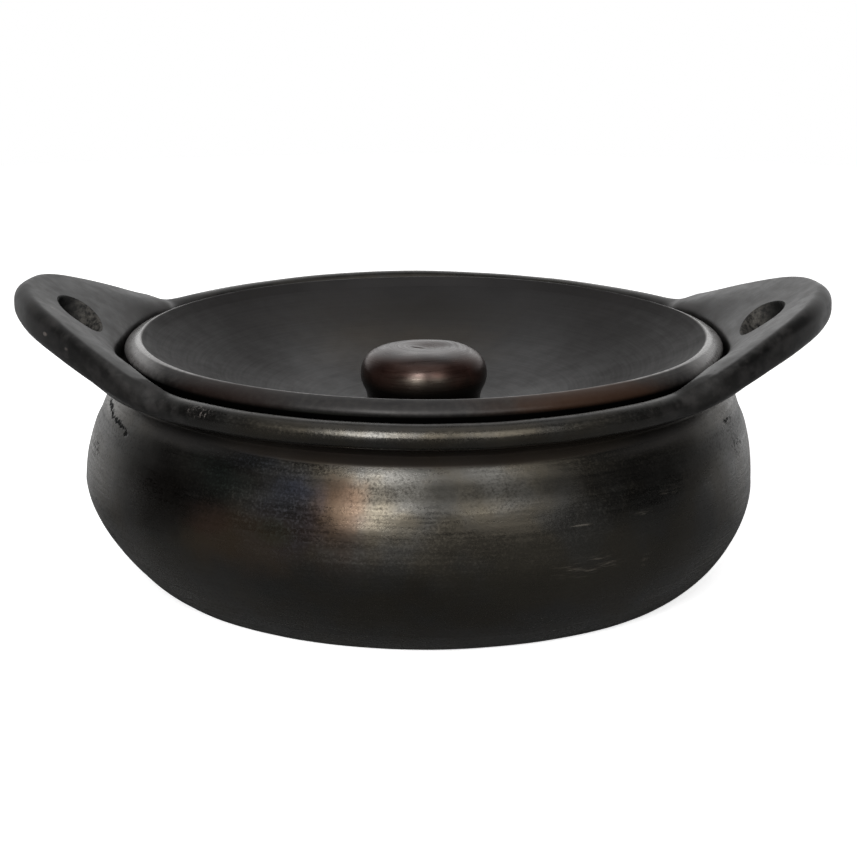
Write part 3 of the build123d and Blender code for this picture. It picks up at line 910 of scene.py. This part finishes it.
def lid_clay():
    """The lid: the same clay, rubbed less, so it is more satin than the pot, with scrape marks on its rim and
    painted light on its edge.
    """
    c = Clay("lid_clay")
    streak = c.rubbing(45, 1.3, 4, 23)
    cloud = c.noise(42, 4, 0.55, seed=12)
    mottle = c.noise(8, 5, 0.62, seed=16)
    grit = c.noise(1.0, 3, 0.6, seed=14)
    scrape = c.noise(2.6, 4, 0.6, seed=15)

    # Places on the lid, whose axis stands at x = LID_SHIFT: its edge, the edge's crest with a painted
    # highlight, its dark underside, which is painted shade, and the turn above it, the ends towards the ears,
    # pale with scraping and painted light, the darker stretches in front of those ends, and the sides of the
    # dish.
    across = c.math("SUBTRACT", c.x, LID_SHIFT)
    aside = c.math("ABSOLUTE", across)
    reach = c.hypot(across, c.y)
    back = c.spread(c.y, -40, 0)
    rim = c.spread(reach, EDGE_R - 2.4, EDGE_R - 0.8)
    # Painted highlight: a pale line along the crest of the lid's edge, broken up by the scrape noise, and
    # glossier.
    crest = c.spread(c.gap(reach, EDGE_R - 0.5), 2.0, 0.9)
    level = c.math("MULTIPLY_ADD", c.y, sin(LID_TILT), c.z)
    # Painted shade: the underside of the lid's edge, in the gap over the seat, is made near black.
    under = c.times(rim, c.spread(level, EDGE_Z + 2.6, EDGE_Z + 0.6))
    # Painted shade: the gloss is darkened on the turn of the edge just above its underside.
    turn = c.times(rim, c.spread(level, EDGE_Z + 5.0, EDGE_Z + 2.8))
    # The ends towards the ears: scraped clay, made pale with painted light, and glossier.
    end = c.times(rim, c.spread(c.math("MULTIPLY_ADD", back, 16, aside), 110, 127))
    flank = c.times(rim, c.spread(aside, 50, 98), c.inverse(back), c.inverse(end), c.inverse(crest))
    dish_side = c.times(c.inverse(rim), c.spread(aside, 40, 90))

    colour = c.mix(c.spread(cloud, 0.35, 0.7), (0.0042, 0.0038, 0.0038, 1), (0.0085, 0.0078, 0.0078, 1))
    for mask, scrape_and_highlight_colour in (
        (c.times(rim, c.spread(scrape, 0.4, 0.7)), (0.014, 0.013, 0.012, 1)),
        # Pale ends: partly scrape marks, partly painted light.
        (c.times(end, c.spread(scrape, 0.35, 0.65, 0.6, 1.0)), (0.115, 0.110, 0.107, 1)),
        # Painted highlight along the crest.
        (c.times(crest, c.spread(scrape, 0.3, 0.6, 0.4, 0.9)), (0.20, 0.195, 0.19, 1)),
    ):
        colour = c.mix(mask, colour, scrape_and_highlight_colour)
    colour = c.patches(colour, (
        ((72, -112, 108), (80, 38, 14), 0.85, (0.020, 0.0095, 0.0055, 1)),
        ((-80, -100, 108), (44, 40, 14), 0.7, (0.0080, 0.0040, 0.0030, 1)),
        ((-8, 60, 92), (60, 40, 20), 0.8, (0.0125, 0.0095, 0.0062, 1)),
        ((-34, -122, 107.5), (30, 20, 1.6), 0.8, (0.020, 0.021, 0.017, 1)),
    ))
    rough = c.plus(c.spread(cloud, 0.35, 0.7, 0.44, 0.54), c.spread(streak, 0.3, 0.72, -0.03, 0.03),
                   c.spread(mottle, 0.35, 0.7, -0.03, 0.03),
                   c.times(end, c.spread(scrape, 0.35, 0.7, -0.20, -0.14)),
                   c.times(crest, -0.10), c.times(flank, 0.10), c.times(dish_side, 0.18))
    tint = c.mix(c.near((78, -108, 108), (84, 42, 16)), (1.0, 0.97, 0.96, 1), (1.0, 0.74, 0.58, 1))
    tint = c.mix(c.times(dish_side, 0.9), tint, (0.54, 0.51, 0.49, 1))
    tint = c.mix(c.times(turn, 0.6), tint, (0.40, 0.39, 0.37, 1))
    tint = c.mix(c.times(flank, 0.75), tint, (0.26, 0.21, 0.18, 1))
    tint = c.mix(c.near((-8, 84, 98), (70, 40, 20)), tint, (1.0, 0.90, 0.78, 1))
    # The underside gets the painted shade's near black, a high roughness and a darkened gloss.
    c.surface(c.mix(under, colour, CRACK_AND_SHADE_BLACK), c.math("MAXIMUM", rough, c.times(under, 0.9)),
              c.mix(under, tint, (0.04, 0.035, 0.03, 1)), 0.36)

    marks = c.times(c.math("MULTIPLY_ADD", rim, 0.85, 0.15), scrape)
    c.bumps((cloud, 0.3, 0.5), (streak, 0.2, 0.03), (mottle, 0.3, 0.15), (marks, 0.3, 0.12),
            (grit, 0.3, 0.05))
    return c.material


def knob_clay():
    """The knob: browner, and polished by handling, with painted shade below its widest."""
    c = Clay("knob_clay")
    streak = c.rubbing(14, 0.8, 4, 31)
    cloud = c.noise(16, 4, 0.6, seed=22)
    colour = c.mix(c.spread(cloud, 0.35, 0.7), (0.0055, 0.0026, 0.0021, 1), (0.0150, 0.0068, 0.0052, 1))
    # Painted shade: near black below the knob's widest.
    colour = c.mix(c.spread(c.z, KNOB_TOP - 8, KNOB_TOP - 16), colour, (0.0008, 0.0007, 0.0006, 1))
    brown = c.mix(c.spread(cloud, 0.35, 0.6), (0.95, 0.58, 0.48, 1), (0.95, 0.72, 0.64, 1))
    tint = c.mix(c.spread(c.z, KNOB_TOP - 10, KNOB_TOP - 6), (1.0, 0.90, 0.74, 1), brown)
    tint = c.mix(c.spread(c.z, KNOB_TOP - 3.5, KNOB_TOP - 0.5), tint, (0.96, 0.90, 0.88, 1))
    # Painted shade: the gloss is darkened low on the knob.
    tint = c.mix(c.spread(c.z, KNOB_TOP - 13.5, KNOB_TOP - 18), tint, (0.30, 0.22, 0.17, 1))
    c.surface(colour, c.spread(streak, 0.3, 0.72, 0.26, 0.40), tint)
    c.bumps((streak, 0.5, 0.08), (c.noise(0.9, 3, seed=3), 0.25, 0.04))
    return c.material


# ---------------------------------------------------------------- the studio

FLOOR_RADIUS = 1.0  # metres, like all of the studio
AIM_HEIGHT = 0.06  # the camera and the lights point at the pot's axis at this height


def floor_material():
    """A plain pale floor that is less bright in reflections than it is to the eye."""
    material = bpy.data.materials.new("pale_floor")
    n = Nodes(material)
    shader = n.tree.nodes["Principled BSDF"]
    seen = n.node("ShaderNodeLightPath").outputs["Is Camera Ray"]
    place = n.node("ShaderNodeTexCoord").outputs["Object"]
    depth = n.node("ShaderNodeSeparateXYZ", {0: place}).outputs["Y"]
    reflected = n.spread(depth, 0.02, 0.30, 0.16, 0.95, curve="LINEAR")
    n.feed(shader.inputs["Base Color"], n.mix(seen, reflected, (0.90, 0.90, 0.90, 1)))
    n.feed(shader.inputs["Emission Strength"], n.times(seen, 0.72))
    for socket, value in (("Emission Color", WHITE), ("Roughness", 0.9), ("Specular IOR Level", 0.1)):
        shader.inputs[socket].default_value = value
    return material


def softbox(name, azimuth, elevation, distance, width, height, power):
    """A rectangular light aimed at the pot. Azimuth 0 is in front, towards -Y, and grows towards +X."""
    data = bpy.data.lights.new(name, "AREA")
    data.shape = "RECTANGLE"
    data.size, data.size_y, data.energy = width, height, power
    obj = bpy.data.objects.new(name, data)
    a, e = radians(azimuth), radians(elevation)
    obj.location = (distance * cos(e) * sin(a), -distance * cos(e) * cos(a), AIM_HEIGHT + distance * sin(e))
    obj.rotation_euler = (pi / 2 - e, 0, a)
    obj.visible_camera = False
    bpy.context.scene.collection.objects.link(obj)


def build_backdrop():
    """A world that is white to the eye, and in reflections is bright behind the pot and dark elsewhere."""
    world = bpy.data.worlds.new("backdrop")
    bpy.context.scene.world = world
    n = Nodes(world)
    background = n.tree.nodes["Background"]
    seen = n.node("ShaderNodeLightPath").outputs["Is Camera Ray"]
    direction = n.node("ShaderNodeTexCoord").outputs["Generated"]
    depth = n.node("ShaderNodeSeparateXYZ", {0: direction}).outputs["Y"]
    reflected = n.spread(depth, 0.35, 0.97, 0.01, 1.25, curve="LINEAR")
    background.inputs["Color"].default_value = WHITE
    n.feed(background.inputs["Strength"], n.spread(seen, 0, 1, reflected, 1.0, curve="LINEAR"))


def build_studio():
    """The round floor, three softboxes and the backdrop."""
    mesh = bpy.data.meshes.new("floor")
    around = np.linspace(0, 2 * pi, 96, endpoint=False)
    edge = [(FLOOR_RADIUS * cos(a), FLOOR_RADIUS * sin(a), 0) for a in around]
    mesh.from_pydata(edge, [], [tuple(range(len(edge)))])
    mesh.materials.append(floor_material())
    floor = bpy.data.objects.new("floor", mesh)
    bpy.context.scene.collection.objects.link(floor)

    softbox("front_left", -15, 26.5, 1.6, 0.44, 1.1, 31)
    softbox("front_right", 25.5, 28, 1.6, 0.62, 1.1, 11)
    softbox("overhead", 0, 82, 1.5, 1.6, 1.2, 6)
    build_backdrop()
    bpy.context.scene.view_settings.view_transform = "Standard"


def build_camera():
    """Front view from 15 degrees up; the shift is the framing that leaves more room above the pot."""
    data = bpy.data.cameras.new("camera")
    data.lens = 166.9
    data.sensor_width = 36
    data.shift_x = 0.0082
    data.shift_y = 0.0179
    camera = bpy.data.objects.new("camera", data)
    elevation, distance = radians(15.09), 1.8
    camera.location = (0, -distance * cos(elevation), AIM_HEIGHT + distance * sin(elevation))
    camera.rotation_euler = (pi / 2 - elevation, 0, 0)
    bpy.context.scene.collection.objects.link(camera)
    bpy.context.scene.camera = camera


build_camera()
build_studio()
build_pot([burnished_clay(), cut_clay()])
build_lid(lid_clay(), knob_clay())
